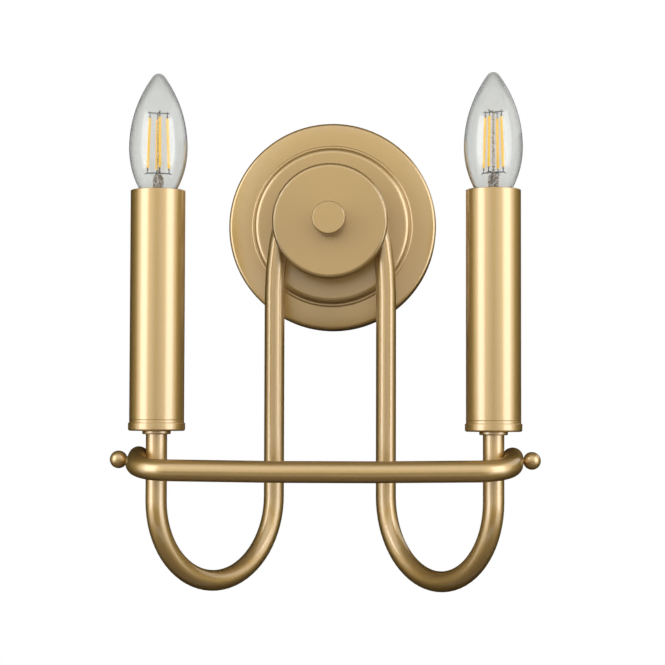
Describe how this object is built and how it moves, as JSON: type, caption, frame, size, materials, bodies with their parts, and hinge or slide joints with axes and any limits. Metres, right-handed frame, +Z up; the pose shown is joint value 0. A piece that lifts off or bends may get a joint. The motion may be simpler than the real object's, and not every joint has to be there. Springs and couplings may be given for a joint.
{
  "type": "double arm wall sconce",
  "caption": "Wall sconce: a round stepped canopy and front disc carry U-shaped tube arms with candle sleeves and flame-tip bulbs, tied across by a bowed tube hoop.",
  "frame": {"origin": "centre of the canopy's open back, in the plane of the wall", "axes": "+Z up along the wall, +Y into the wall, so the front looks along -Y; +X to the viewer's right"},
  "size_m": [0.2564, 0.1642, 0.3127],
  "materials": {
    "satin_gold": "satin metallic lacquer on steel",
    "zinc_steel": "zinc plated",
    "black_steel": "black oxide",
    "green_steel": "green dyed plating",
    "plain_brass": "bare",
    "connector_plastic": "matte orange",
    "lead_rubber": "dull insulation",
    "holder_plastic": "moulded thermoset",
    "bulb_nickel": "nickel plated",
    "clear_glass": "clear",
    "stem_glass": "clear, pinched",
    "filament_phosphor": "coated with phosphor",
    "bulb_wire": "drawn wire"
  },
  "bodies": {
    "frame": {"canopy": "satin_gold", "tier_plate": "satin_gold", "front_disc": "satin_gold", "hub_block": "satin_gold", "hoop": "satin_gold", "hoop_end_plugs": "satin_gold", "mounting_strap": "zinc_steel", "strap_nut": "zinc_steel", "centre_nipple": "zinc_steel", "hub_grub_screws": "black_steel", "screw_inserts": "plain_brass", "ground_screw": "green_steel", "wire_connectors": "connector_plastic", "arm_left": "satin_gold", "lead_left": "lead_rubber", "candle_ring_left": "satin_gold", "candle_cup_left": "satin_gold", "cup_nut_left": "zinc_steel", "candle_sleeve_left": "satin_gold", "holder_post_left": "zinc_steel", "holder_body_left": "holder_plastic", "holder_shell_left": "plain_brass", "holder_contact_left": "plain_brass", "arm_right": "satin_gold", "lead_right": "lead_rubber", "candle_ring_right": "satin_gold", "candle_cup_right": "satin_gold", "cup_nut_right": "zinc_steel", "candle_sleeve_right": "satin_gold", "holder_post_right": "zinc_steel", "holder_body_right": "holder_plastic", "holder_shell_right": "plain_brass", "holder_contact_right": "plain_brass"},
    "cap": {"cap_nut": "satin_gold"},
    "ball_screw_left": {"ball_screw_left": "satin_gold"},
    "bulb_left": {"bulb_base_left": "bulb_nickel", "bulb_glass_left": "clear_glass", "bulb_stem_left": "stem_glass", "bulb_filaments_left": "filament_phosphor", "bulb_wires_left": "bulb_wire"},
    "ball_screw_right": {"ball_screw_right": "satin_gold"},
    "bulb_right": {"bulb_base_right": "bulb_nickel", "bulb_glass_right": "clear_glass", "bulb_stem_right": "stem_glass", "bulb_filaments_right": "filament_phosphor", "bulb_wires_right": "bulb_wire"}
  },
  "joints": [
    {"name": "cap_nut_thread", "type": "hinge", "parent": "frame", "child": "cap", "pos_m": [0, -0.063, 0], "axis": [0, -1, 0], "range_deg": [0, 4320]},
    {"name": "ball_screw_left_thread", "type": "hinge", "parent": "frame", "child": "ball_screw_left", "pos_m": [-0.118, -0.1244, -0.1494], "axis": [-1, 0, 0], "range_deg": [0, 1440]},
    {"name": "bulb_left_thread", "type": "hinge", "parent": "frame", "child": "bulb_left", "pos_m": [-0.1003, -0.1244, 0.002], "axis": [0, 0, 1], "range_deg": [0, 990]},
    {"name": "ball_screw_right_thread", "type": "hinge", "parent": "frame", "child": "ball_screw_right", "pos_m": [0.118, -0.1244, -0.1494], "axis": [1, 0, 0], "range_deg": [0, 1440]},
    {"name": "bulb_right_thread", "type": "hinge", "parent": "frame", "child": "bulb_right", "pos_m": [0.1003, -0.1244, 0.002], "axis": [0, 0, 1], "range_deg": [0, 990]}
  ]
}
